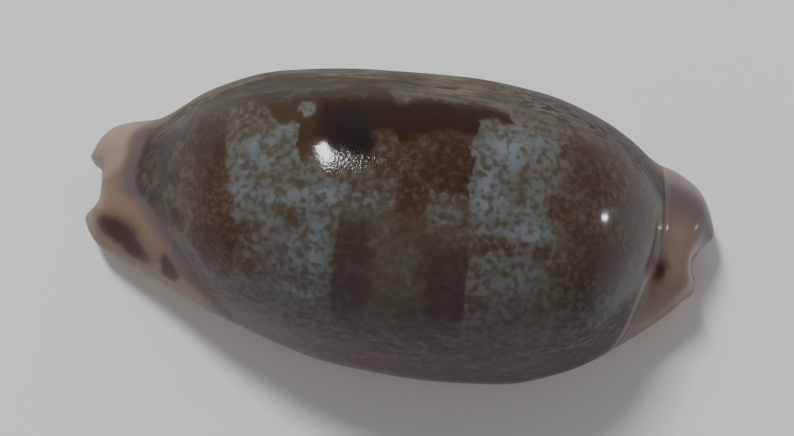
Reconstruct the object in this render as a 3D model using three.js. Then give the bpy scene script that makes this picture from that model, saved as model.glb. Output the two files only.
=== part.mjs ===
// A tapering cowrie: one hollow shell whose outer wall rolls right round it, with a toothed slit
// along its base that opens in a notched canal at each end.
// Millimetres. The posterior end points along +X, the outer (labral) lip along +Y, the back along +Z.
// The origin lies on the surface that the base rests on, under the middle of the shell.

import * as THREE from "three";

// Driving dimensions
const LENGTH = 33.4;
const WIDTH = 16;
const HEIGHT = 13.6;
const TEETH = 22;

// Walls, lips and grooves
const WALL = 1.15;
const LIP_RADIUS = 0.85;
const TOOTH_DEPTH = 0.5;
const WORN_FLAT = 0.4;
const SPOT_PLACE = 0.495;
const SPOT_REACH = 0.018;
const SPOT_SLOPE = 0.5;
const SPOT_RISE = 0.08;
const RIDGE_HEIGHT = 0.3;
const RIDGE_GROOVE = 0.28;
const RIM_ROUNDING = 0.75;
const CANAL_CLEARANCE = 0.15;

// Where the teeth start and stop, as places from -1 at the anterior tip to 1 at the posterior tip
const TOOTHED_FROM = -0.87;
const TOOTHED_TO = 0.85;
const TEETH_FADE = 0.06;

// How square each section is: 1 is an ellipse, and less is flatter
const BASE_CURVE = 0.8;
const BACK_CURVE = 0.87;

// How finely each tooth, each end and each loop round the shell is divided
const STATIONS_PER_TOOTH = 3;
const LIP_STEPS = 3;
const BASE_STEPS = 6;
const BACK_STEPS = 13;

const HALF_LENGTH = LENGTH / 2;
const HALF_WIDTH = WIDTH / 2;
const { PI, abs, cos, sin, sign, exp, max, min, sqrt } = Math;
const { lerp, smoothstep } = THREE.MathUtils;

// A smooth curve through [place, value] pairs, where place runs from -1 at the anterior tip to
// 1 at the posterior tip, and the value is scaled to a real size.
function profile(scale, pairs) {
  const slopes = pairs.map(([place, value], i) => {
    const [before, after] = [pairs[max(i - 1, 0)], pairs[min(i + 1, pairs.length - 1)]];
    const [left, right] = [
      (value - before[1]) / (place - before[0] || 1),
      (after[1] - value) / (after[0] - place || 1),
    ];
    return left * right <= 0 ? 0 : (2 * left * right) / (left + right);
  });
  return (place) => {
    const next = pairs.findIndex(([p]) => p >= place);
    const i = next < 0 ? pairs.length - 2 : max(next - 1, 0);
    const [[a, from], [b, to]] = [pairs[i], pairs[i + 1]];
    const t = min(max((place - a) / (b - a), 0), 1);
    const [t2, t3] = [t * t, t * t * t];
    const eased =
      (2 * t3 - 3 * t2 + 1) * from +
      (t3 - 2 * t2 + t) * (b - a) * slopes[i] +
      (3 * t2 - 2 * t3) * to +
      (t3 - t2) * (b - a) * slopes[i + 1];
    return eased * scale;
  };
}

// Plan outline of the labral and columellar sides, and the line of the slit between them
const labralSide = profile(HALF_WIDTH, [
  [-1, 0.42], [-0.97, 0.54], [-0.9, 0.6], [-0.8, 0.625], [-0.62, 0.83], [-0.4, 0.96],
  [-0.1, 1], [0.15, 1], [0.4, 0.95], [0.6, 0.83], [0.7, 0.73], [0.8, 0.605], [0.87, 0.58],
  [0.93, 0.51], [0.975, 0.42], [1, 0.31],
]);
const columellarSide = profile(-HALF_WIDTH, [
  [-1, 0.1], [-0.97, 0.19], [-0.9, 0.28], [-0.78, 0.4], [-0.5, 0.69], [-0.15, 0.93],
  [0.15, 0.985], [0.35, 0.965], [0.55, 0.84], [0.78, 0.54], [0.86, 0.42], [0.93, 0.34], [1, 0.25],
]);
const slitLine = profile(HALF_WIDTH, [
  [-1, 0.17], [-0.7, 0.14], [0, 0.12], [0.5, 0.06], [0.8, -0.02], [1, -0.05],
]);
const slitHalfWidth = profile(1, [
  [-1, 0.9], [-0.85, 0.8], [-0.3, 0.65], [0.5, 0.5], [0.85, 0.5], [1, 0.65],
]);

// Side outline: the back, the margin where the shell is widest, and the base as it lifts at the ends
const backHeight = profile(HEIGHT, [
  [-1, 0.23], [-0.93, 0.31], [-0.82, 0.43], [-0.66, 0.68], [-0.48, 0.87],
  [-0.2, 0.985], [0.08, 1], [0.32, 0.965], [0.55, 0.83], [0.7, 0.66],
  [0.79, 0.485], [0.825, 0.39], [0.88, 0.375], [0.95, 0.32], [1, 0.22],
]);
const marginHeight = profile(HEIGHT, [
  [-1, 0.11], [-0.8, 0.15], [-0.4, 0.25], [0.1, 0.29], [0.5, 0.27], [0.8, 0.19], [1, 0.12],
]);
const baseLift = profile(1, [
  [-1, 0.75], [-0.8, 0.4], [-0.4, 0], [0.4, 0], [0.8, 0.4], [1, 0.8],
]);
// The worn base is flat right down to the ground at four spots, and rises a little away from them
const spotLift = (place) =>
  min(SPOT_SLOPE * max(abs(abs(place) - SPOT_PLACE) - SPOT_REACH, 0), SPOT_RISE);
const backLine = (place) => lerp(slitLine(place), 0.3, 1 - place ** 4);

// The chamber inside, which narrows to a canal at each end
const chamberOpen = (place) => smoothstep(place, -0.93, -0.55) * (1 - smoothstep(place, 0.55, 0.86));
const canalRoof = profile(1, [[-1, 1], [-0.8, 1.5], [0, WALL], [0.7, 1.5], [0.8, 2.3], [1, 1]]);

// How far each end's rim stands back from the tips: most over the canal, least on the two lobes
// beside it, and a little where the lobes round off below
const anteriorInset = (y, z) =>
  0.85 * smoothstep(-y, -2.9, -2.1) * smoothstep(y, -0.55, 0.55) + 0.45 * smoothstep(-z, -1.3, 0);
const posteriorInset = (y, z) =>
  1.2 * smoothstep(-y, -1.7, 0.15) - 0.25 * smoothstep(-y, 0.5, 1.1) +
  0.6 * smoothstep(-y, 1.5, 2.4) + 0.4 * smoothstep(-z, -1.3, 0);

// The crease ahead of the posterior end leans forward down the columellar side
const creaseLean = (place, y, z) =>
  0.9 * smoothstep(-y, -0.8, 4) * smoothstep(z, 3.2, 5.6) * bump(place, 0.8, 0.16);

const signedPower = (value, power) => sign(value) * abs(value) ** power;
const bump = (value, centre, spread) => exp(-(((value - centre) / spread) ** 2));

// A point on a closed oval at this angle: flatter than an ellipse where its power is under 1.
// Sides, crest, middle and floor are the oval's reach each way.
function ovalPoint(angle, power, { labral, columellar, middle, crest, margin, floor }) {
  const side = cos(angle) > 0 ? labral : columellar;
  const reach = sin(angle) > 0 ? crest - margin : margin - floor;
  return new THREE.Vector2(
    middle + (side - middle) * abs(cos(angle)) ** power,
    margin + reach * signedPower(sin(angle), power),
  );
}

// Angles and lip turns of one loop, from the edge of the labral lip over the back to the edge of
// the columellar lip
const nearLip = (step) => (step / BASE_STEPS) ** 1.8;
const loop = [];
for (let i = 0; i < LIP_STEPS; i++) loop.push({ angle: -PI / 2, turn: 1 - i / LIP_STEPS });
for (let i = 0; i < BASE_STEPS; i++) loop.push({ angle: (PI / 2) * (nearLip(i) - 1), turn: 0 });
for (let i = 0; i <= BACK_STEPS; i++) loop.push({ angle: (PI * i) / BACK_STEPS, turn: 0 });
for (let i = BASE_STEPS - 1; i >= 0; i--) loop.push({ angle: PI + (PI / 2) * (1 - nearLip(i)), turn: 0 });
for (let i = 1; i <= LIP_STEPS; i++) loop.push({ angle: (3 * PI) / 2, turn: i / LIP_STEPS });

// The outer surface's section at a place along the shell, before its teeth are cut
function outerPoint(place, { angle, turn }) {
  const toLabral = angle < PI / 2 ? 1 : -1;
  const side = toLabral > 0 ? labralSide(place) : columellarSide(place);
  const edge = slitLine(place) + toLabral * slitHalfWidth(place);
  const lipRadius = min(LIP_RADIUS, 0.45 * abs(side - edge));
  const lip = edge + toLabral * lipRadius;
  const lower = sin(angle) < 0 || turn > 0;
  const point = ovalPoint(angle, lower ? BASE_CURVE : BACK_CURVE, {
    labral: labralSide(place),
    columellar: columellarSide(place),
    middle: lower ? lip : backLine(place),
    crest: backHeight(place) + WORN_FLAT,
    margin: marginHeight(place) + WORN_FLAT,
    floor: baseLift(place),
  });
  const ridge = (1 - 0.55 * chamberOpen(place)) * (1 - smoothstep(abs(place), 0.86, 1));
  point.x += RIDGE_HEIGHT * ridge * bump(angle, 0.08, 0.2);
  point.x -= RIDGE_GROOVE * ridge * bump(angle, 0.5, 0.22);
  const arc = (turn * PI) / 2;
  point.x -= toLabral * lipRadius * sin(arc);
  point.y += lipRadius * (1 - cos(arc));
  point.y = max(point.y - WORN_FLAT, 0) + spotLift(place) * max(-sin(angle), 0);
  return point;
}

// The inner surface's section at the same place and angle
function innerPoint(place, { angle, turn }) {
  const toLabral = angle < PI / 2 ? 1 : -1;
  const open = chamberOpen(place);
  const slit = slitLine(place);
  const half = slitHalfWidth(place);
  const canal = half + CANAL_CLEARANCE;
  const lower = sin(angle) < 0 || turn > 0;
  const point = ovalPoint(angle, lower ? BASE_CURVE : BACK_CURVE, {
    labral: lerp(slit + canal, labralSide(place) - WALL, open),
    columellar: lerp(slit - canal, columellarSide(place) + WALL, open),
    middle: lower ? slit + toLabral * (half + 0.25 * open) : lerp(slit, backLine(place), open),
    crest: backHeight(place) - canalRoof(place),
    margin: lerp(1.8, marginHeight(place) + 0.9, open),
    floor: lerp(1.3, 2.2, open) + 0.5 * baseLift(place),
  });
  point.y -= 0.2 * turn;
  return point;
}

// Places along the shell: close together at the rims, then evenly through the teeth
const rimPlaces = [0, 0.006, 0.02, 0.05, 0.085];
const toothedSteps = TEETH * STATIONS_PER_TOOTH;
const places = rimPlaces.map((p) => -1 + p);
for (let i = 0; i <= toothedSteps; i++) places.push(lerp(TOOTHED_FROM, TOOTHED_TO, i / toothedSteps));
places.push(...rimPlaces.map((p) => 1 - p).reverse());

// How deep the groove beside a tooth is here: 0 on a tooth's crest and away from the slit
function grooveDepth(place, index) {
  if (place < TOOTHED_FROM || place > TOOTHED_TO) return 0;
  const phase = ((place - TOOTHED_FROM) / (TOOTHED_TO - TOOTHED_FROM)) * TEETH;
  const fromLabral = index < loop.length / 2;
  const outward = (fromLabral ? index : loop.length - 1 - index) - LIP_STEPS;
  const along = 1 - smoothstep(outward, 0, fromLabral ? 2 : 1.7);
  const fade =
    smoothstep(place, TOOTHED_FROM, TOOTHED_FROM + TEETH_FADE) *
    (1 - smoothstep(place, TOOTHED_TO - TEETH_FADE, TOOTHED_TO));
  return (TOOTH_DEPTH * along * fade * (1 - cos(2 * PI * phase))) / 2;
}

// How far the two surfaces close up on each other at a rim: 0 away from it
const rimBlend = (place) => {
  const toRim = 1 - min(((1 - abs(place)) * HALF_LENGTH) / RIM_ROUNDING, 1);
  return min(0.5 * (1 - sqrt(1 - toRim ** 2)) ** 0.9, 0.38);
};

// Both surfaces at one station, drawn together at the rim so that its edge is round
function stationPoints(place) {
  const outer = loop.map((spot, index) => {
    const point = outerPoint(place, spot);
    const depth = grooveDepth(place, index);
    const arc = spot.turn * (PI / 2);
    point.x += (spot.angle < PI / 2 ? 1 : -1) * depth * sin(arc);
    point.y += depth * cos(arc);
    return point;
  });
  const inner = loop.map((spot) => innerPoint(place, spot));
  const blend = rimBlend(place);
  const inset = (y, z) =>
    (place < 0 ? anteriorInset(y, z) : -posteriorInset(y, z)) * abs(place) ** 8;
  return [outer, inner].map((own, layer) =>
    own.map((point, index) => {
      const other = (layer ? outer : inner)[index];
      const { x: y, y: z } = point.clone().lerp(other, blend);
      return new THREE.Vector3(place * HALF_LENGTH + inset(y, z) - creaseLean(place, y, z), y, z);
    }),
  );
}

// One closed grid: each station's loop runs out over the outer surface and back along the inner
function shellGeometry() {
  const rings = places.map((place) => {
    const [outer, inner] = stationPoints(place);
    return [...outer, ...inner.reverse()];
  });
  const count = rings[0].length;
  const faces = [];
  const quad = (a, b, c, d) => faces.push(a, b, c, a, c, d);
  for (let s = 0; s + 1 < rings.length; s++)
    for (let i = 0; i < count; i++) {
      const j = (i + 1) % count;
      quad(s * count + i, s * count + j, (s + 1) * count + j, (s + 1) * count + i);
    }
  const last = (rings.length - 1) * count;
  for (let i = 0; i + 1 < count / 2; i++) {
    const [j, k, l] = [i + 1, count - 2 - i, count - 1 - i];
    quad(i, l, k, j);
    quad(last + i, last + j, last + k, last + l);
  }
  return new THREE.BufferGeometry().setFromPoints(rings.flat()).setIndex(faces);
}

// The origin lies under the middle of the shell's length and width
const geometry = shellGeometry();
geometry.computeBoundingBox();
const middle = geometry.boundingBox.getCenter(new THREE.Vector3());
geometry.translate(-middle.x, -middle.y, 0);

const shell = new THREE.Mesh(
  geometry,
  new THREE.MeshStandardMaterial({ color: 0x6f6a62, roughness: 0.25, metalness: 0 }),
);
shell.name = "shell";

const cowrie = new THREE.Group();
cowrie.add(shell);

export default cowrie;
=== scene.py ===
"""A tapering cowrie resting on a pale bench, seen from above its back.

Metres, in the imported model's own frame: the posterior end points along +X, the outer (labral) lip
along +Y and the back along +Z. The shell's marks are placed by length along it, in millimetres, and
by angle round it, in degrees: 0 at the labral margin, 90 along the back's crest, 180 at the
columellar margin, and -90 or 270 at the slit.
"""

import math

import bpy
import numpy as np
from mathutils import Matrix, Vector


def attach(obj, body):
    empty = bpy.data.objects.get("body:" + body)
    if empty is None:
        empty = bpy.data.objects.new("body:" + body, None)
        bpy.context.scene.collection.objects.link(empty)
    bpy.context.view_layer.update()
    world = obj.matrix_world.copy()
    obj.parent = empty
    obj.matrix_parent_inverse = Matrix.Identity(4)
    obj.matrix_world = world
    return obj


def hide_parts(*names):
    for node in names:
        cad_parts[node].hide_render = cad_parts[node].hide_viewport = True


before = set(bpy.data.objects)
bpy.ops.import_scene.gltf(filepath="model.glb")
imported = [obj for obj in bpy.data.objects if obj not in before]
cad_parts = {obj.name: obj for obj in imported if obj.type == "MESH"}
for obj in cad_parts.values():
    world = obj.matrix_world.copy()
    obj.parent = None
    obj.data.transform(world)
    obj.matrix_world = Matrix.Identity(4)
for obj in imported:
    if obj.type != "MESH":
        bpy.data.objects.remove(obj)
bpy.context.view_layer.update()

MM = 0.001

# the unrolled surface: it starts at this length (mm) and angle (degrees), and reaches this far
FLAT_START, FLAT_LENGTH = -17, 34
FIRST_ANGLE, FULL_TURN = -90, 360


# ---- choosing and finishing objects ----


def choose_only(piece):
    """Selects one object and nothing else, and makes it the active one."""
    bpy.ops.object.select_all(action="DESELECT")
    piece.select_set(True)
    bpy.context.view_layer.objects.active = piece


def smoothstep(value, low, high):
    """Goes smoothly from 0 to 1 as the value goes from low to high, which may be the smaller."""
    t = np.clip((value - low) / (high - low), 0, 1)
    return t * t * (3 - 2 * t)


# ---- the shell's form ----

# lengths in mm
HALF_LENGTH = 16.7
HEART_ASIDE, HEART_SLANT = 0.3, 0.045  # to the labral side at the middle, and less per mm to the rear
HEART_FOOT, HEART_ARCH = 1.6, 2.4  # height at the ends, and how much more at the middle
SAME_POINT = 0.001  # points nearer than this are one
CALLUS_RISE = 0.05
ROUNDING_LEVELS = 2

# how far back the front callus reaches: (angle, length)
FRONT_CALLUS = (
    (0, -12.6), (40, -13.4), (60, -13.5), (80, -13.7), (100, -13.5), (109, -12.7), (119, -11.75),
    (129, -10.6), (143, -9.8), (164, -8.2), (200, -7.4),
)


def heart_line(length):
    """The line down the middle that angles are taken round: its y and z at each x, in mm."""
    aside = HEART_ASIDE - HEART_SLANT * length
    return aside, HEART_FOOT + HEART_ARCH * (1 - (length / HALF_LENGTH) ** 2)


def places_on_shell(points):
    """Length (mm) and angle (degrees) of points."""
    x, y, z = points[:, 0], points[:, 1], points[:, 2]
    across, up = heart_line(x)
    angle = np.degrees(np.arctan2(z - up, y - across))
    return x, np.where(angle < FIRST_ANGLE, angle + FULL_TURN, angle)


def vertex_points(mesh):
    """The mesh's points, in mm."""
    points = np.empty(len(mesh.vertices) * 3)
    mesh.vertices.foreach_get("co", points)
    return points.reshape(-1, 3) / MM


def vertex_normals(mesh):
    """Which way the surface faces at each of the mesh's points."""
    normals = np.empty(len(mesh.vertices) * 3)
    mesh.vertices.foreach_get("normal", normals)
    return normals.reshape(-1, 3)


def rounded_shell():
    """A fine, smooth copy of the solid shell, in one closed skin of four-sided faces."""
    shell = bpy.data.objects.new("cowrie_shell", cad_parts["shell"].data.copy())
    bpy.context.scene.collection.objects.link(shell)
    choose_only(shell)
    bpy.ops.mesh.customdata_custom_splitnormals_clear()
    bpy.ops.object.mode_set(mode="EDIT")
    bpy.ops.mesh.select_all(action="SELECT")
    bpy.ops.mesh.remove_doubles(threshold=SAME_POINT * MM)
    bpy.ops.mesh.tris_convert_to_quads(
        face_threshold=math.pi, shape_threshold=math.pi, topology_influence=2.0
    )
    bpy.ops.object.mode_set(mode="OBJECT")
    rounding = shell.modifiers.new("rounding", "SUBSURF")
    rounding.levels = rounding.render_levels = ROUNDING_LEVELS
    bpy.ops.object.modifier_apply(modifier=rounding.name)
    bpy.ops.object.shade_smooth()
    return shell


def raise_callus(shell):
    """Lets the front callus stand a hair proud, by sinking the back a little along its edge."""
    mesh = shell.data
    points = vertex_points(mesh)
    length, angle = places_on_shell(points)
    behind = length - np.interp(angle, *zip(*FRONT_CALLUS))
    along_edge = smoothstep(behind, -0.25, 0.2) * smoothstep(behind, 3.5, 0.4)
    over_back = smoothstep(angle, 20, 50) * smoothstep(angle, 185, 165)
    sink = CALLUS_RISE * along_edge * over_back
    moved = (points - sink[:, None] * vertex_normals(mesh)) * MM
    mesh.vertices.foreach_set("co", moved.ravel())
    mesh.update()


def unroll(shell):
    """Lays the surface out flat: length along it across, angle round it upwards."""
    mesh = shell.data
    length, angle = places_on_shell(vertex_points(mesh))
    corners = np.empty(len(mesh.loops), dtype=np.int32)
    mesh.loops.foreach_get("vertex_index", corners)
    while mesh.uv_layers:
        mesh.uv_layers.remove(mesh.uv_layers[0])
    layout = mesh.uv_layers.new(name="unrolled")
    flat = [(length - FLAT_START) / FLAT_LENGTH, (angle - FIRST_ANGLE) / FULL_TURN]
    layout.uv.foreach_set("vector", np.stack(flat, axis=1)[corners].astype(np.float32).ravel())


def mark_inside(shell):
    """Notes how far each spot of the surface faces the chamber, as the attribute "inside"."""
    mesh = shell.data
    points = vertex_points(mesh)
    across, up = heart_line(points[:, 0])
    outward = np.stack([np.zeros(len(points)), points[:, 1] - across, points[:, 2] - up], axis=1)
    outward /= np.linalg.norm(outward, axis=1)[:, None]
    facing_in = smoothstep(-(vertex_normals(mesh) * outward).sum(axis=1), 0.0, 0.5)
    note = mesh.attributes.new("inside", "FLOAT", "POINT")
    note.data.foreach_set("value", facing_in.astype(np.float32))


# ---- painting with nodes ----


class Paint:
    """The nodes of one material, made by short calls that nearly all give back a socket."""

    def __init__(self, name):
        self.material = bpy.data.materials.new(name)
        self.material.use_nodes = True
        self.tree = self.material.node_tree
        self.tree.nodes.clear()

    def node(self, kind, **settings):
        """A new node of a kind, with its settings."""
        made = self.tree.nodes.new(kind)
        for name, value in settings.items():
            setattr(made, name, value)
        return made

    def feed(self, socket, value):
        """Joins a socket to an input, or sets the input to a plain value."""
        if isinstance(value, bpy.types.NodeSocket):
            self.tree.links.new(value, socket)
        else:
            socket.default_value = value

    def calc(self, operation, *values, clamp=False):
        """A sum of plain numbers or sockets."""
        made = self.node("ShaderNodeMath", operation=operation, use_clamp=clamp)
        for socket, value in zip(made.inputs, values):
            self.feed(socket, value)
        return made.outputs[0]

    def vector_calc(self, operation, *values):
        """The same with three numbers at once."""
        made = self.node("ShaderNodeVectorMath", operation=operation)
        for socket, value in zip(made.inputs, values):
            self.feed(socket, value)
        return made.outputs["Value" if operation == "LENGTH" else "Vector"]

    def add(self, *values):
        total = values[0]
        for value in values[1:]:
            total = self.calc("ADD", total, value)
        return total

    def most(self, *values):
        """The greatest of several values, so that marks join without adding up."""
        best = values[0]
        for value in values[1:]:
            best = self.calc("MAXIMUM", best, value)
        return best

    def times(self, *values):
        product = values[0]
        for value in values[1:]:
            product = self.calc("MULTIPLY", product, value)
        return product

    def fade(self, value, start, end, low=0.0, high=1.0):
        """Goes smoothly from low to high as the value goes from start to end."""
        made = self.node("ShaderNodeMapRange", interpolation_type="SMOOTHSTEP")
        given = {"Value": value, "From Min": start, "From Max": end, "To Min": low, "To Max": high}
        for name, setting in given.items():
            self.feed(made.inputs[name], setting)
        return made.outputs["Result"]

    def mix(self, share, under, over):
        """Lays a share of one colour over another; each is a socket or three plain values."""
        made = self.node("ShaderNodeMix", data_type="RGBA")
        self.feed(made.inputs["Factor"], share)
        for place, colour in ((6, under), (7, over)):  # the two inputs that take colours
            self.feed(made.inputs[place], (*colour, 1) if isinstance(colour, tuple) else colour)
        return made.outputs[2]

    def ramp(self, value, stops):
        """Colours along a value: each stop is (place, colour)."""
        made = self.node("ShaderNodeValToRGB")
        ramp = made.color_ramp
        while len(ramp.elements) < len(stops):
            ramp.elements.new(0.5)
        for element, (place, colour) in zip(ramp.elements, stops):
            element.position = place
            element.color = (*colour, 1)
        self.feed(made.inputs[0], value)
        return made.outputs[0]

    def line(self, value, points):
        """A smooth curve through (value, result) points, both in the shell's own units."""
        (start, _), (end, _) = points[0], points[-1]
        low = min(result for _, result in points)
        high = max(result for _, result in points)
        reach = end - start
        made = self.node("ShaderNodeFloatCurve")
        curve = made.mapping.curves[0]
        while len(curve.points) < len(points):
            curve.points.new(0.5, 0.5)
        for point, (place, result) in zip(curve.points, points):
            point.location = ((place - start) / reach, (result - low) / (high - low))
            point.handle_type = "AUTO_CLAMPED"
        made.mapping.update()
        scaled = self.calc("MULTIPLY_ADD", value, 1 / reach, -start / reach, clamp=True)
        self.feed(made.inputs["Value"], scaled)
        return self.calc("MULTIPLY_ADD", made.outputs[0], high - low, low)

    def stretch(self, spot, scale):
        """A place or a sway, made larger or smaller in each direction."""
        return self.vector_calc("MULTIPLY", spot, scale)

    def noise(self, spot, scale, detail=2.0, roughness=0.5, distortion=0.0):
        """A noise node; detail and roughness give it finer parts, and distortion curls it."""
        made = self.node("ShaderNodeTexNoise")
        given = {"Vector": spot, "Scale": scale, "Detail": detail}
        given |= {"Roughness": roughness, "Distortion": distortion}
        for name, setting in given.items():
            self.feed(made.inputs[name], setting)
        return made

    def cloud(self, spot, *settings):
        """Soft noise, about 0.5 on average."""
        return self.noise(spot, *settings).outputs[0]

    def sway(self, spot, scale):
        """Soft noise about zero, in three directions at once."""
        noise = self.noise(spot, scale).outputs["Color"]
        return self.vector_calc("SUBTRACT", noise, (0.5, 0.5, 0.5))

    def cells(self, spot, scale, smoothness):
        """How far off the nearest of many scattered points is."""
        made = self.node("ShaderNodeTexVoronoi", feature="SMOOTH_F1")
        for name, setting in (("Vector", spot), ("Scale", scale), ("Smoothness", smoothness)):
            self.feed(made.inputs[name], setting)
        return made.outputs["Distance"]

    def blotch(self, spot, middle, size):
        """An oval mark on the unrolled surface: 1 in its middle, 0 at its edge, less outside."""
        scale = (1 / size[0], 1 / size[1], 0)
        shift = (-middle[0] / size[0], -middle[1] / size[1], 0)
        made = self.node("ShaderNodeVectorMath", operation="MULTIPLY_ADD")
        for socket, value in zip(made.inputs, (spot, scale, shift)):
            self.feed(socket, value)
        return self.calc("SUBTRACT", 1.0, self.vector_calc("LENGTH", made.outputs[0]))


# ---- the shell's colours ----

# linear red, green and blue
SLATE = (0.093, 0.089, 0.078)
PALE_BLUE = (0.140, 0.170, 0.188)
OLIVE = (0.060, 0.046, 0.025)
UMBER = (0.051, 0.0265, 0.0140)
AMBER = (0.048, 0.026, 0.0105)
RUST = (0.036, 0.016, 0.0060)
CHOCOLATE = (0.0190, 0.0062, 0.0018)
PLUM = (0.0115, 0.0055, 0.0058)
DUSK = (0.044, 0.029, 0.026)
FAWN = (0.088, 0.064, 0.046)
RUSSET = (0.031, 0.0120, 0.0060)
LILAC = (0.145, 0.108, 0.101)
PINK = (0.086, 0.051, 0.044)
SAND = (0.118, 0.095, 0.060)
TAN = (0.066, 0.044, 0.024)
BARK = (0.010, 0.0055, 0.0028)
TERRACOTTA = (0.115, 0.055, 0.036)
CREAM = (0.184, 0.120, 0.076)
PUTTY = (0.094, 0.070, 0.068)
ROSE_GREY = (0.190, 0.140, 0.108)
MAROON = (0.038, 0.0070, 0.0065)
PORCELAIN = (0.60, 0.53, 0.44)
OLD_PORCELAIN = (0.52, 0.43, 0.33)
VIOLET = (0.40, 0.36, 0.40)
MUSHROOM = (0.080, 0.067, 0.053)
DRIFTWOOD = (0.070, 0.052, 0.036)
PEBBLE = (0.055, 0.048, 0.042)
WALNUT = (0.020, 0.0115, 0.005)
TOFFEE = (0.044, 0.023, 0.0095)
CINNAMON = (0.040, 0.021, 0.010)
ASH = (0.088, 0.074, 0.062)
COFFEE = (0.022, 0.0125, 0.006)
CHESTNUT = (0.026, 0.0135, 0.006)
SMOKE = (0.048, 0.038, 0.032)
PEAT = (0.018, 0.0115, 0.0085)
EARTH = (0.018, 0.012, 0.009)
IVORY = (0.265, 0.205, 0.158)
MAUVE = (0.100, 0.070, 0.068)
CLAY = (0.110, 0.085, 0.070)
PEARL = (0.26, 0.23, 0.21)
LINEN = (0.30, 0.245, 0.20)

# ---- the shell's polish ----

POLISHED = 0.105  # roughness where the glaze shines most
MATT_EXTRA = 0.40  # how much rougher the matt flanks are
GLAZE_INDEX = 1.36  # index of refraction
RELIEF = 0.012 * MM  # depth of the pits and swells


class Glaze(Paint):
    """The shell's coloured glaze, laid on coat by coat over the unrolled surface."""

    def __init__(self):
        super().__init__("mottled_glaze")
        flat = self.node("ShaderNodeUVMap", uv_map="unrolled").outputs["UV"]
        reach, start = (FLAT_LENGTH, FULL_TURN, 0), (FLAT_START, FIRST_ANGLE, 0)
        place = self.vector_calc("MULTIPLY_ADD", flat, reach, start)
        self.true_length, self.true_angle = self.split(place)
        # the place in the shell's body, in mm
        body = self.node("ShaderNodeTexCoord").outputs["Object"]
        self.body = self.stretch(body, (1 / MM, 1 / MM, 1 / MM))
        # the edges of nearly all marks wander a little, finely and broadly
        fine, broad = self.sway(self.body, 2.8), self.sway(self.body, 0.8)
        wander = self.vector_calc(
            "ADD", self.stretch(fine, (0.40, 3.4, 0)), self.stretch(broad, (0.9, 6.5, 0))
        )
        self.spot = self.vector_calc("ADD", place, wander)
        self.length, self.angle = self.split(self.spot)
        # fine lines wander broadly and less
        self.calm = self.vector_calc("ADD", place, self.stretch(broad, (0.4, 3.0, 0)))
        self.haze = self.cloud(self.body, 0.6, 3.0)

    def split(self, vector):
        """The length and the angle of a place."""
        parts = self.node("ShaderNodeSeparateXYZ")
        self.feed(parts.inputs[0], vector)
        return parts.outputs[0], parts.outputs[1]

    def minus(self, value, less):
        return self.calc("SUBTRACT", value, less)

    def near(self, distance, gone, full, strength=1.0):
        """A soft line where a distance is nought, which is gone beyond one distance either way."""
        return self.fade(self.calc("ABSOLUTE", distance), gone, full, 0.0, strength)

    def oval(self, middle, size, edge=0.6, strength=1.0):
        """A soft oval mark; edge is the share of its radius over which it fades."""
        return self.fade(self.blotch(self.spot, middle, size), 0.0, edge, 0.0, strength)

    def bar(self, lengths, angles, edges=(0.4, 0.4), falls=(4, 4), strength=1.0):
        """A soft bar from one length and angle to another, which fades by edges and falls."""
        return self.times(
            self.fade(self.length, lengths[0] - edges[0], lengths[0] + edges[0]),
            self.fade(self.length, lengths[1] + edges[1], lengths[1] - edges[1]),
            self.fade(self.angle, angles[0] - falls[0], angles[0] + falls[0]),
            self.fade(self.angle, angles[1] + falls[1], angles[1] - falls[1], 0.0, strength),
        )

    def bands(self):
        """How thickly the brown of the three bands lies."""
        anterior_edge = self.line(self.angle, [
            (40, -9.8), (52, -9.2), (62, -8.95), (75, -8.95), (90, -8.7), (102, -8.35),
            (118, -7.9), (132, -8.2), (145, -9.5),
        ])
        past_edge = self.minus(self.length, anterior_edge)
        anterior = self.times(
            self.fade(past_edge, -2.9, -1.6),
            self.fade(past_edge, 0.25, -0.25),
            self.fade(self.angle, 136, 126),
            self.fade(self.angle, 44, 58),
        )
        posterior = self.times(
            self.fade(self.length, 7.0, 8.6),
            self.fade(self.length, 12.0, 10.4),
            self.fade(self.angle, 124, 110),
            self.fade(self.angle, 44, 52),
        )
        # the columns of the middle band, and thin brown beside the streak and below the crest
        middle = self.most(
            self.bar((-0.3, 1.3), (72, 110), (0.25, 0.3), (6, 4), 0.95),
            self.bar((0.6, 3.2), (66, 92), (0.3, 0.08), (4, 2), 0.9),
            self.bar((-1.9, -0.2), (70, 90), (0.3, 0.3), (4, 4), 0.72),
            self.bar((-3.05, 3.38), (103, 134), (0.1, 0.1), (4, 8), 0.55),
            self.bar((-2.9, 3.2), (86, 106), (0.6, 0.1), (4, 4), 0.35),
            self.bar((-9.0, -6.6), (60, 78), (0.5, 0.6), (4, 4), 0.45),
            self.bar((5.0, 7.6), (52, 62), (0.5, 0.6), (4, 4), 0.3),
            self.bar((3.6, 8.4), (103, 108), (0.3, 0.6), (1.5, 1.5), 0.45),
        )
        amber_patches = self.most(
            self.oval((7.7, 56), (0.9, 6)),
            self.oval((7.9, 71), (0.6, 5)),
            self.oval((7.7, 90), (1.0, 6)),
            self.oval((9.8, 104), (1.3, 10)),
            self.oval((10.2, 60), (1.0, 7)),
            self.oval((-7.6, 112), (1.3, 7), 0.9, 0.7),
            self.oval((-7.2, 124), (1.4, 6), 0.9, 0.8),
            self.oval((-5.3, 105), (0.7, 5), 0.9, 0.6),
            self.oval((-11.7, 66), (0.8, 9), 0.9, 0.9),
            self.oval((-11.5, 93), (0.8, 9), 0.9, 0.9),
            self.oval((-11.3, 112), (0.9, 11), 0.9, 0.9),
        )
        # thin brown beyond the outer bands
        beyond = self.most(
            self.fade(self.length, -10.9, -12.2, 0.0, 0.30),
            self.fade(self.length, 10.6, 12.2, 0.0, 0.25),
        )
        return self.most(
            anterior, self.times(posterior, 0.62), middle, self.times(amber_patches, 0.9), beyond
        )

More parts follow.
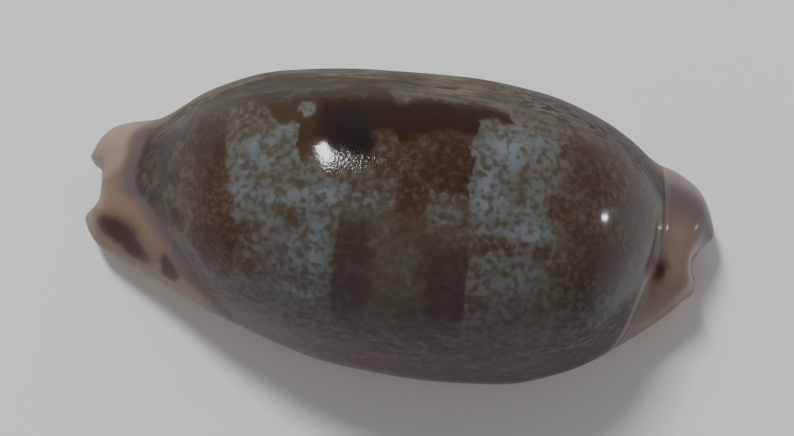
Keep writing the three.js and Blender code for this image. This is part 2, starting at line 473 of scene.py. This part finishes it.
    def pale_marks(self):
        """Where the pale ground shows best: a line along the crest, and windows in the bands."""
        crest = self.line(self.true_length, [
            (-9, 99.5), (-5, 98.5), (-1.5, 95.5), (3, 93.5), (8, 95),
        ])
        line = self.times(
            self.near(self.minus(self.angle, crest), 4.0, 1.5),
            self.fade(self.true_length, -9.5, -7.5),
            self.fade(self.true_length, 8.5, 3.5),
        )
        return self.most(
            self.times(line, 0.42),
            self.oval((-3.6, 98), (2.6, 4), 0.8, 0.7),
            self.oval((2.2, 97), (1.1, 5), 0.6, 0.6),
            self.oval((0.2, 124), (0.6, 4), 0.8, 0.6),
            self.oval((5.0, 76), (1.4, 8), 0.9, 0.85),
            self.oval((4.0, 91), (0.7, 12), 0.9, 0.8),
            self.oval((6.3, 100), (1.6, 3.5), 0.7, 0.7),
            self.oval((-7.0, 84), (1.3, 9), 0.8, 0.4),
            self.oval((-6.1, 78), (0.9, 5), 0.8, 0.6),
            self.oval((-4.6, 129), (1.6, 5), 0.8),
            self.oval((-3.9, 113), (0.7, 12), 0.8, 0.5),
        )

    def mottled_ground(self):
        """Blue-grey, with a fine net of olive brown that closes up into the three bands."""
        thick, pale = self.bands(), self.pale_marks()
        # bluest on the crest, between the outer bands
        blue = self.times(
            self.fade(self.length, -10.5, -7.5),
            self.fade(self.length, 9.5, 6.5),
            self.fade(self.angle, 54, 66),
            self.fade(self.angle, 142, 112),
        )
        drift = self.times(self.minus(self.haze, 0.5), 0.9)
        blue = self.add(self.times(blue, 0.36), self.times(pale, 0.62), drift)
        front = self.fade(self.length, -10.6, -11.8)
        rear = self.fade(self.length, 9.0, 12.0)
        ground = self.mix(self.fade(blue, 0.0, 1.0), SLATE, PALE_BLUE)
        ground = self.mix(self.times(thick, 0.75), ground, MUSHROOM)
        ground = self.mix(front, ground, DRIFTWOOD)
        ground = self.mix(self.times(rear, 0.4), ground, PEBBLE)
        # the net is of short curls, which turn to dashes on the steep ends, with dots at the rear
        worms = self.cloud(self.body, 2.75, 0.9, 0.5, 0.25)
        dashes = self.cloud(self.stretch(self.spot, (3.2, 0.10, 0)), 1.0, 1.0)
        steep = self.most(
            self.fade(self.length, 10.4, 12.2),
            self.fade(self.length, -11.4, -12.6, 0.0, 0.35),
        )
        worms = self.add(worms, self.times(steep, self.minus(dashes, worms)))
        dots = self.fade(self.cells(self.body, 2.3, 0.25), 0.50, 0.12)
        dotted = self.times(self.fade(self.length, 2.5, 4.5), self.fade(self.angle, 104, 88))
        dotted = self.add(self.times(dotted, 0.14), 0.05)
        net = self.add(worms, self.times(self.minus(dots, 0.35), dotted))
        # it closes up where its level is low, in the bands, and here and there by chance
        chance = self.times(self.minus(self.cloud(self.body, 0.9, 2.0), 0.5), 0.40)
        level = self.add(0.50, self.times(thick, -0.28), self.times(pale, 0.03), chance)
        cover = self.fade(self.minus(net, level), -0.21, 0.21)
        warm = self.times(self.minus(self.cloud(self.body, 0.7, 2.0), 0.5), 1.4)
        greener = self.bar((-3.0, 1.4), (98, 136), (0.3, 0.3), (3, 5), -0.6)
        brown = self.mix(self.fade(self.add(thick, warm, greener), 0.15, 0.75), OLIVE, UMBER)
        veins = self.cloud(self.body, 3.6, 1.0, 0.5, 0.3)
        brown = self.mix(self.fade(veins, 0.42, 0.68, 0.0, 0.60), brown, FAWN)
        brown = self.mix(front, brown, WALNUT)
        # the net is evener between the two dark blocks
        quiet = self.bar((-3.1, 3.4), (98, 140), (0.3, 0.3), (5, 5))
        cover = self.times(cover, self.minus(1.0, self.times(quiet, 0.45)))
        cover = self.add(cover, self.times(quiet, 0.30))
        return self.mix(self.times(cover, self.add(0.88, self.times(thick, 0.12))), ground, brown)

    def dark_blocks(self, under):
        """Squarish dark blocks low in the middle band, and dusky and russet shade in all bands."""
        left = self.bar((-3.05, -1.25), (103, 136), (0.12, 0.35), (3, 9), 0.85)
        right = self.times(
            self.bar((1.35, 9.0), (108, 140), (0.3, 0.1), (3, 9), 0.88),
            self.fade(self.true_length, 3.46, 3.34),
            self.fade(self.true_angle, 131.5, 129.5, 0.25, 1.0),
        )
        shade = self.most(
            self.bar((-3.0, 3.3), (130, 146), (0.3, 0.3), (5, 5), 0.35),
            self.bar((-2.4, -1.6), (134, 152), (0.2, 0.2), (4, 6), 0.5),
            self.bar((0.2, 1.1), (126, 138), (0.2, 0.2), (3, 2), 0.55),
            self.bar((1.0, 1.7), (106, 120), (0.2, 0.2), (3, 3), 0.55),
            self.oval((10.0, 105), (1.7, 12), 0.9, 0.85),
            self.oval((10.3, 59), (1.3, 8), 0.9, 0.5),
            self.oval((8.8, 97), (1.1, 7), 0.9, 0.4),
            self.oval((-9.4, 120), (1.0, 8), 0.9, 0.4),
            self.oval((-9.7, 78), (0.8, 16), 0.9, 0.4),
        )
        # the net still shows through
        broken = self.fade(self.cloud(self.body, 2.4, 2.0), 0.34, 0.56, 0.55, 1.0)
        under = self.mix(self.times(self.most(left, right, shade), broken), under, DUSK)
        russet = self.most(
            self.oval((-9.75, 82), (1.1, 28), 0.9, 0.85),
            self.oval((-9.6, 118), (1.2, 12), 0.9, 0.5),
            self.bar((0.9, 3.22), (62, 90), (0.4, 0.06), (3, 6), 0.5),
            self.bar((-0.1, 1.1), (74, 102), (0.3, 0.3), (4, 6), 0.10),
            self.oval((9.2, 72), (1.3, 22), 0.9, 0.5),
        )
        return self.mix(self.times(russet, broken), under, RUSSET)

    def streak(self, under):
        """The dark streak on the labral side of the crest, with a pale island and amber edges."""
        top = self.line(self.length, [
            (-7.6, 66), (-7.2, 63.4), (-6.0, 63.6), (-5.4, 60.4), (-4.6, 60), (-4, 62.5),
            (-2.9, 62.9), (-2.4, 61.3), (-1.8, 56.8), (-1.2, 56), (-0.9, 61.5), (-0.3, 63),
            (0.2, 60.7), (0.9, 58.5), (2.2, 59.8), (3.4, 59), (4.15, 59.5), (4.7, 60.8), (5.15, 66),
        ])
        foot = self.line(self.length, [
            (-7.6, 66), (-7.2, 67.3), (-6.5, 72.4), (-5.9, 74.1), (-5.5, 73.5), (-5.25, 84),
            (-4.9, 87), (-4.4, 84.5), (-3.6, 81.5), (-2.2, 83.5), (-1.8, 77), (-0.6, 76),
            (-0.3, 79), (0.6, 76), (1.6, 74), (3.2, 73), (3.5, 67), (4.2, 65.8), (5.15, 66),
        ])
        # how deep within the streak's edge a place lies, in degrees
        within = self.calc("MINIMUM", self.minus(self.angle, top), self.minus(foot, self.angle))
        island = self.blotch(self.spot, (-4.95, 67.8), (0.34, 3.3))
        within = self.calc("MINIMUM", within, self.times(island, -6.0))
        near_edge, deeper = self.fade(within, 0.0, 5.0), self.fade(within, 0.0, 9.0)
        dark = self.ramp(near_edge, [(0.0, TOFFEE), (0.2, RUST), (0.6, CHOCOLATE)])
        light = self.ramp(deeper, [(0.0, AMBER), (0.5, CINNAMON), (1.0, RUST)])
        colour = self.mix(self.fade(self.length, -3.9, -4.8), dark, light)
        return self.mix(self.fade(within, -1.2, 1.4), under, colour)

    def plum_shade(self, under):
        """The plum-dark end of the streak."""
        plum = self.most(
            self.oval((-2.9, 75), (1.5, 13), 0.5),
            self.oval((-2.2, 80), (0.9, 7), 0.5),
        )
        return self.mix(self.times(plum, 0.95), under, PLUM)

    def labral_lines(self, under):
        """Fine tan and grey lines along the labral margin, which break into dots at the rear."""
        grain = self.cloud(self.stretch(self.calm, (0.30, 0.75, 0)), 1.0, 2.0, 0.6)
        rear = self.fade(self.length, 3.5, 6.5)
        dots = self.cloud(self.stretch(self.calm, (1.5, 0.60, 0)), 1.0, 2.0, 0.6)
        grain = self.add(grain, self.times(rear, self.minus(dots, grain)))
        broken = self.fade(self.cloud(self.body, 1.1, 2.0), 0.36, 0.56, 0.35, 0.95)
        tint = self.mix(self.fade(self.haze, 0.40, 0.60), SAND, TAN)
        tint = self.mix(self.times(rear, 0.8), tint, ASH)
        seen = self.fade(self.true_angle, 30, 50, 0.35, 1.0)
        tint = self.mix(self.times(self.fade(grain, 0.475, 0.53), broken, seen), tint, BARK)
        share = self.fade(self.add(self.true_angle, self.times(self.haze, 12)), 69, 57, 0.0, 0.95)
        under = self.mix(share, under, tint)
        # dusky flecks at the front, and tanned lines along the upper edge
        dusky = self.bar((-14.0, -9.2), (48, 80), (0.8, 1.2), (4, 8), 0.75)
        flecks = self.cloud(self.stretch(self.spot, (2.0, 0.22, 0)), 1.0, 1.5)
        under = self.mix(self.times(dusky, self.fade(flecks, 0.46, 0.56, 0.10, 1.0)), under, COFFEE)
        tanned = self.bar((-10.0, -0.8), (49, 64), (1.5, 1.0), (3, 2))
        streaks = self.cloud(self.stretch(self.spot, (0.5, 0.32, 0)), 1.0, 2.0)
        tanned = self.times(tanned, self.fade(streaks, 0.42, 0.54, 0.60, 0.97))
        return self.mix(tanned, under, CHESTNUT)

    def margin_spots(self, under):
        """Small soft brown spots along the labral margin, below what the photograph shows."""
        spots = self.most(*(
            self.oval(middle, size, 0.8, 0.75)
            for middle, size in (
                ((-11.2, 14), (0.7, 5)),
                ((-8.3, 8), (0.6, 4)),
                ((-5.4, 16), (0.8, 5)),
                ((-2.4, 7), (0.6, 4)),
                ((0.9, 14), (0.8, 5)),
                ((4.1, 8), (0.6, 4)),
                ((6.9, 15), (0.7, 5)),
                ((9.8, 9), (0.6, 4)),
            )
        ))
        return self.mix(spots, under, UMBER)

    def columellar_side(self, under):
        """Lilac grey towards the columellar margin, with a blush and fine wrinkles."""
        # near-black over the rear of the lower flank, broken by the net: partly its own dark brown
        # and partly painted shade
        netted = self.fade(self.cloud(self.body, 2.6, 1.0), 0.42, 0.56, 0.35, 0.95)
        rear = self.bar((8.6, 12.8), (112, 168), (1.5, 0.6), (8, 8))
        under = self.mix(self.times(rear, netted), under, PEAT)
        dusky = self.fade(self.add(self.true_length, self.times(self.haze, 6)), -4, 6)
        grey = self.mix(dusky, LILAC, SMOKE)
        patchy = self.cloud(self.stretch(self.spot, (1.1, 0.16, 0)), 1.0, 3.0)
        patchy = self.fade(patchy, 0.36, 0.64, 0.62, 1.0)
        lower = self.fade(self.angle, 134, 160, 0.0, 0.86)
        under = self.mix(self.times(lower, patchy), under, grey)
        under = self.mix(self.oval((-0.4, 163), (5.5, 20), 0.9, 0.85), under, PINK)
        grain = self.cloud(self.stretch(self.calm, (0.8, 0.60, 0)), 1.0, 2.0, 0.6)
        wrinkled = self.times(
            self.fade(self.true_angle, 124, 145), self.fade(self.haze, 0.40, 0.55, 0.25, 0.65)
        )
        under = self.mix(self.times(self.fade(grain, 0.50, 0.66), wrinkled), under, EARTH)
        flecks = self.cloud(self.stretch(self.calm, (1.5, 0.30, 0)), 1.0, 2.0, 0.6, 0.3)
        flecked = self.times(
            self.fade(flecks, 0.52, 0.66, 0.0, 0.55), self.fade(self.true_angle, 124, 142)
        )
        return self.mix(flecked, under, LILAC)

    def ends(self, under):
        """Plain callus at both ends, cream and grey, with maroon spots, and a pale rear rim that is
        partly painted light over the shade of the crease.
        """
        to_front = self.minus(self.line(self.true_angle, FRONT_CALLUS), self.true_length)
        self.front_cap = self.fade(to_front, -0.2, 0.25)
        low = self.fade(self.true_angle, 104, 122)
        veil = self.times(self.near(self.add(to_front, 0.55), 0.95, 0.25), low)
        under = self.mix(self.times(veil, 0.35), under, LILAC)
        front_colour = self.mix(self.fade(to_front, 0.2, 1.7), PUTTY, CREAM)
        labral_side = self.fade(self.true_angle, 84, 66)
        columellar_side = self.fade(self.true_angle, 138, 156)
        # ivory on the lobes and along the front edge
        lip = self.most(
            self.fade(self.true_length, -15.3, -16.1, 0.0, 0.9),
            self.times(self.fade(to_front, 0.7, 1.4), labral_side),
            self.times(self.fade(to_front, 0.9, 1.8), columellar_side, 0.5),
        )
        front_colour = self.mix(lip, front_colour, IVORY)
        under = self.mix(self.front_cap, under, front_colour)
        # two raised threads along the low part of the front callus, painted paler along their ridges
        # as a painted highlight
        self.callus_edge = self.times(low, self.most(
            self.near(self.add(to_front, 0.25), 0.16, 0.0),
            self.near(self.add(to_front, 0.95), 0.14, 0.0, 0.7),
        ))
        # the sand laid over the threads is a painted highlight
        under = self.mix(self.times(self.callus_edge, 0.35), under, SAND)
        back = self.line(self.true_angle, [
            (0, 13.5), (60, 13.5), (90, 13.45), (105, 13.25), (120, 13.0), (150, 12.4), (180, 11.6),
        ])
        past_back = self.minus(self.true_length, back)
        self.back_cap = self.fade(past_back, -0.05, 0.1)
        back_colour = self.mix(self.fade(self.true_angle, 70, 38), ROSE_GREY, MAUVE)
        back_colour = self.mix(self.fade(past_back, 1.1, 0.2, 0.0, 0.3), back_colour, CLAY)
        under = self.mix(self.back_cap, under, back_colour)
        # the back runs out plain and pale against the rear callus: partly its own lilac, partly
        # painted light over the shade by the crease
        smooth_edge = self.times(
            self.fade(past_back, -1.5, -0.25),
            self.fade(past_back, 0.15, -0.05),
            self.fade(self.true_angle, 78, 104),
        )
        under = self.mix(self.times(smooth_edge, 0.4), under, LILAC)
        # the pale rim is partly the back's own pale edge and partly painted light that fills the
        # shade of the crease
        rim = self.times(
            self.near(self.add(past_back, 0.22), 0.26, 0.05), self.fade(self.true_angle, 50, 66)
        )
        under = self.mix(self.times(rim, 0.75), under, PEARL)
        # three spots at the front, the first two run together, and one at the rear
        maroon = self.most(
            self.oval((-14.5, 140), (2.6, 28), 1.0),
            self.oval((-13.6, 149), (1.7, 22), 1.0, 0.95),
            self.oval((-11.6, 148), (0.95, 21), 0.8),
            self.oval((13.5, 109), (1.0, 28), 1.0, 0.85),
        )
        stain = self.mix(self.fade(maroon, 0.25, 0.85), TERRACOTTA, MAROON)
        return self.mix(self.fade(maroon, 0.0, 0.85, 0.0, 0.95), under, stain)

    def base(self, under):
        """The white base and teeth, and the violet-white chamber behind them."""
        side = self.most(self.fade(self.true_angle, 34, 4), self.fade(self.true_angle, 166, 190))
        under = self.mix(self.times(side, 0.7), under, LINEN)
        low = self.most(self.fade(self.true_angle, 8, -22), self.fade(self.true_angle, 182, 208))
        enamel = self.mix(self.fade(self.haze, 0.38, 0.62), PORCELAIN, OLD_PORCELAIN)
        under = self.mix(low, under, enamel)
        inside = self.node("ShaderNodeAttribute", attribute_name="inside").outputs["Fac"]
        return self.mix(inside, under, VIOLET)

    def finish(self, colour):
        """A polished back, matter flanks and front, and fine pits where the crest is worn."""
        skin = self.node("ShaderNodeBsdfPrincipled")
        self.feed(skin.inputs["Base Color"], colour)
        flanks = self.most(
            self.fade(self.true_angle, 68, 44, 0.0, 1.35), self.fade(self.true_angle, 114, 145)
        )
        matt = self.most(
            self.times(flanks, self.minus(1.0, self.times(self.back_cap, 0.55))),
            self.times(self.front_cap, 0.9),
            self.fade(self.true_length, -10.3, -12.6, 0.0, 0.85),
        )
        rough = self.calc("MULTIPLY_ADD", matt, MATT_EXTRA, POLISHED)
        self.feed(skin.inputs["Roughness"], rough)
        skin.inputs["IOR"].default_value = GLAZE_INDEX
        worn = self.oval((-2.0, 88), (3.2, 10), 0.7, 2.0)
        pits = self.times(self.cloud(self.body, 6.5, 2.0), self.add(worn, 0.10), 0.5)
        swell = self.cloud(self.body, 0.9, 2.0)
        bump = self.node("ShaderNodeBump")
        bump.inputs["Strength"].default_value = 1.0
        bump.inputs["Distance"].default_value = RELIEF
        self.feed(bump.inputs["Height"], self.add(pits, swell, self.times(self.callus_edge, 1.1)))
        self.feed(skin.inputs["Normal"], bump.outputs[0])
        output = self.node("ShaderNodeOutputMaterial")
        self.feed(output.inputs["Surface"], skin.outputs[0])
        return self.material


def shell_glaze():
    """The shell's one material, coat over coat."""
    glaze = Glaze()
    colour = glaze.mottled_ground()
    for coat in (
        glaze.dark_blocks,
        glaze.streak,
        glaze.plum_shade,
        glaze.labral_lines,
        glaze.columellar_side,
        glaze.ends,
        glaze.base,
        glaze.margin_spots,
    ):
        colour = coat(colour)
    return glaze.finish(colour)


# ---- the bench, lights and camera ----

# metres
BENCH_SIZE = 1.2
LAMP_DISTANCE = 0.6
LAMP_AIM = Vector((0, 0, 0.006))

PALE_BOARD = (0.80, 0.81, 0.82, 1)
WARM_WALLS = (1.0, 0.97, 0.94, 1)
COOL_DAYLIGHT = (0.95, 0.98, 1.0)

# the camera, as measured in the photograph
PICTURE_WIDTH = 794  # pixels
FOCAL_LENGTH = 2292  # pixels
PIXELS_PER_MM = 19.1
SENSOR_WIDTH = 36.0  # mm
CAMERA_DISTANCE = 0.120  # metres
CAMERA_AIM = Vector((0, 0.44, 3.3)) * MM


def bench():
    """A plain pale board under the shell."""
    bpy.ops.object.select_all(action="DESELECT")
    bpy.ops.mesh.primitive_plane_add(size=BENCH_SIZE, location=(0, 0, 0))
    floor = bpy.context.object
    floor.name = "pale_bench"
    paint = Paint("pale_board")
    board = paint.node("ShaderNodeBsdfPrincipled")
    board.inputs["Base Color"].default_value = PALE_BOARD
    board.inputs["Roughness"].default_value = 0.6
    output = paint.node("ShaderNodeOutputMaterial")
    paint.feed(output.inputs["Surface"], board.outputs[0])
    floor.data.materials.append(paint.material)


def lamp(name, direction, size, watts, colour=(1, 1, 1)):
    """A lamp panel that looks at the shell from a direction."""
    light = bpy.data.lights.new(name, "AREA")
    light.shape = "RECTANGLE"
    light.size, light.size_y = size
    light.energy = watts
    light.color = colour
    holder = bpy.data.objects.new(name, light)
    towards = Vector(direction).normalized()
    holder.location = LAMP_AIM + towards * LAMP_DISTANCE
    holder.rotation_euler = towards.to_track_quat("Z", "Y").to_euler()
    bpy.context.scene.collection.objects.link(holder)


def studio_light():
    """A softly lit room, brighter on the labral side and dimmer overhead, and two lamp panels."""
    room = bpy.data.worlds.new("room")
    room.use_nodes = True
    nodes, links = room.node_tree.nodes, room.node_tree.links
    sky = nodes.new("ShaderNodeTexCoord")
    across = nodes.new("ShaderNodeSeparateXYZ")
    links.new(sky.outputs["Generated"], across.inputs[0])
    glows = []
    for axis, *limits in (("Y", -0.7, 0.7, 0.36, 0.56), ("Z", 0.55, 0.95, 1.15, 0.42)):
        glow = nodes.new("ShaderNodeMapRange")
        for name, limit in zip(("From Min", "From Max", "To Min", "To Max"), limits):
            glow.inputs[name].default_value = limit
        links.new(across.outputs[axis], glow.inputs["Value"])
        glows.append(glow.outputs[0])
    both = nodes.new("ShaderNodeMath")
    both.operation = "MULTIPLY"
    for socket, glow in zip(both.inputs, glows):
        links.new(glow, socket)
    links.new(both.outputs[0], nodes["Background"].inputs["Strength"])
    nodes["Background"].inputs["Color"].default_value = WARM_WALLS
    bpy.context.scene.world = room
    lamp("ceiling_lamp", (-0.325, 0.465, 0.83), (0.075, 0.17), 2.75, COOL_DAYLIGHT)
    lamp("far_lamp", (0.98, 0.17, 0.06), (0.012, 0.05), 0.2)


def camera():
    """Nearly overhead, leaning towards the columellar side; the shell slopes down to the right."""
    elevation, roll = math.radians(78), math.radians(5)
    back = Vector((0, -math.cos(elevation), math.sin(elevation)))
    right = Vector((1, 0, 0))
    up = back.cross(right)
    turned_right = right * math.cos(roll) + up * math.sin(roll)
    turned_up = up * math.cos(roll) - right * math.sin(roll)
    # the shell lies three pixels to the right of the middle and four below it
    pixel = MM / PIXELS_PER_MM
    eye = CAMERA_AIM + back * CAMERA_DISTANCE - turned_right * 3 * pixel + turned_up * 4 * pixel
    data = bpy.data.cameras.new("overhead")
    data.sensor_width = SENSOR_WIDTH
    data.lens = FOCAL_LENGTH / PICTURE_WIDTH * SENSOR_WIDTH
    data.clip_start = 0.01
    data.clip_end = 10.0
    holder = bpy.data.objects.new("overhead", data)
    turn = Matrix((turned_right, turned_up, back)).transposed().to_4x4()
    holder.matrix_world = Matrix.Translation(eye) @ turn
    bpy.context.scene.collection.objects.link(holder)
    bpy.context.scene.camera = holder


def main():
    """Rounds and paints the shell, and sets it on its bench."""
    shell = rounded_shell()
    raise_callus(shell)
    unroll(shell)
    mark_inside(shell)
    shell.data.materials.clear()
    shell.data.materials.append(shell_glaze())
    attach(shell, "root")
    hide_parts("shell")
    bench()
    studio_light()
    camera()


main()
